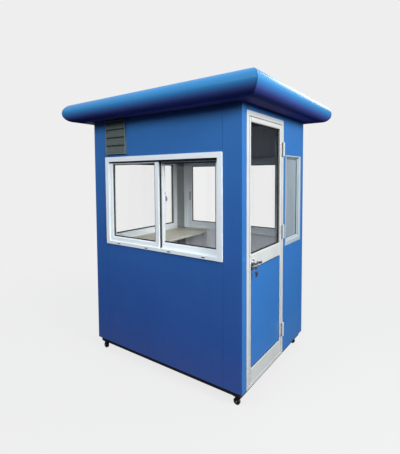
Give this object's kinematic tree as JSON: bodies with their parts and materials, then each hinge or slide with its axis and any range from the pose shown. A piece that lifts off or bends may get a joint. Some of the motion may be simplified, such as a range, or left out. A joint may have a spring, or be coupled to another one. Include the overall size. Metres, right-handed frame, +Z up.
{
  "type": "guard booth",
  "caption": "Blue guard booth with sliding windows, a glazed hinged door, a round-edged overhanging roof, an inside desk and swivel casters.",
  "frame": {"origin": "on the ground, in the middle of the booth's outline", "axes": "+Z up; +X towards the door; -Y towards the front sliding window, +Y towards the back window"},
  "size_m": [1.9, 1.59, 2.25],
  "materials": {
    "base_black": "satin",
    "floor_steel": "matte",
    "wall_blue": "satin",
    "roof_soffit": "gloss",
    "fascia_blue": "gloss",
    "window_white": "satin",
    "window_glass": "polished",
    "latch_metal": "satin",
    "door_white": "satin",
    "door_blue": "satin",
    "hinge_white": "satin",
    "lever_chrome": "polished",
    "vent_grey": "matte",
    "slat_grey": "matte",
    "desk_board": "satin",
    "inner_grey": "satin",
    "caster_black": "satin",
    "caster_tread": "matte"
  },
  "bodies": {
    "shell": {"base_frame": "base_black", "floor_deck": "floor_steel", "front_corner_posts": "wall_blue", "back_corner_posts": "wall_blue", "front_wall_ends": "wall_blue", "back_wall_ends": "wall_blue", "front_wall_lower": "wall_blue", "front_wall_upper": "wall_blue", "back_wall_lower": "wall_blue", "back_wall_upper": "wall_blue", "left_wall_lower": "wall_blue", "left_wall_upper": "wall_blue", "door_header": "wall_blue", "door_side_post": "wall_blue", "side_wall_lower": "wall_blue", "side_wall_upper": "wall_blue", "roof_panel": "roof_soffit", "fascia_front": "fascia_blue", "fascia_back": "fascia_blue", "fascia_left": "fascia_blue", "fascia_right": "fascia_blue", "front_window_frame": "window_white", "front_window_sashes": "window_white", "front_window_glass": "window_glass", "back_window_frame": "window_white", "back_window_sashes": "window_white", "back_window_glass": "window_glass", "window_latches": "latch_metal", "left_window_frame": "window_white", "left_window_glass": "window_glass", "side_window_frame": "window_white", "side_window_glass": "window_glass", "door_frame": "door_white", "door_stop": "door_white", "door_hinges": "hinge_white", "vent_frame": "vent_grey", "vent_slats": "slat_grey", "desk_top": "desk_board", "desk_bearers": "inner_grey", "caster_plates": "caster_black"},
    "door": {"door_leaf": "door_white", "door_panel": "door_blue", "door_glass": "window_glass", "door_knuckles": "hinge_white", "door_roses": "lever_chrome"},
    "lever": {"door_lever": "lever_chrome"},
    "fork_fl": {"caster_fork_fl": "caster_black"},
    "wheel_fl": {"caster_wheel_fl": "caster_tread"},
    "fork_fr": {"caster_fork_fr": "caster_black"},
    "wheel_fr": {"caster_wheel_fr": "caster_tread"},
    "fork_bl": {"caster_fork_bl": "caster_black"},
    "wheel_bl": {"caster_wheel_bl": "caster_tread"},
    "fork_br": {"caster_fork_br": "caster_black"},
    "wheel_br": {"caster_wheel_br": "caster_tread"}
  },
  "joints": [
    {"name": "door_swing", "type": "hinge", "parent": "shell", "child": "door", "pos_m": [0.7645, 0.0825, 1.09], "axis": [0, 0, 1], "range_deg": [0, 110]},
    {"name": "lever_turn", "type": "hinge", "parent": "door", "child": "lever", "pos_m": [0.752, -0.456, 1.008], "axis": [-1, 0, 0], "range_deg": [0, 45], "stiffness_Nm_per_rad": 2, "springref_deg": -17.19},
    {"name": "swivel_fl", "type": "hinge", "parent": "shell", "child": "fork_fl", "pos_m": [-0.695, -0.545, 0.068], "axis": [0, 0, 1], "continuous": true},
    {"name": "roll_fl", "type": "hinge", "parent": "fork_fl", "child": "wheel_fl", "pos_m": [-0.709, -0.545, 0.025], "axis": [0, 1, 0], "continuous": true},
    {"name": "swivel_fr", "type": "hinge", "parent": "shell", "child": "fork_fr", "pos_m": [0.695, -0.545, 0.068], "axis": [0, 0, 1], "continuous": true},
    {"name": "roll_fr", "type": "hinge", "parent": "fork_fr", "child": "wheel_fr", "pos_m": [0.681, -0.545, 0.025], "axis": [0, 1, 0], "continuous": true},
    {"name": "swivel_bl", "type": "hinge", "parent": "shell", "child": "fork_bl", "pos_m": [-0.695, 0.545, 0.068], "axis": [0, 0, 1], "continuous": true},
    {"name": "roll_bl", "type": "hinge", "parent": "fork_bl", "child": "wheel_bl", "pos_m": [-0.709, 0.545, 0.025], "axis": [0, 1, 0], "continuous": true},
    {"name": "swivel_br", "type": "hinge", "parent": "shell", "child": "fork_br", "pos_m": [0.695, 0.545, 0.068], "axis": [0, 0, 1], "continuous": true},
    {"name": "roll_br", "type": "hinge", "parent": "fork_br", "child": "wheel_br", "pos_m": [0.681, 0.545, 0.025], "axis": [0, 1, 0], "continuous": true}
  ]
}
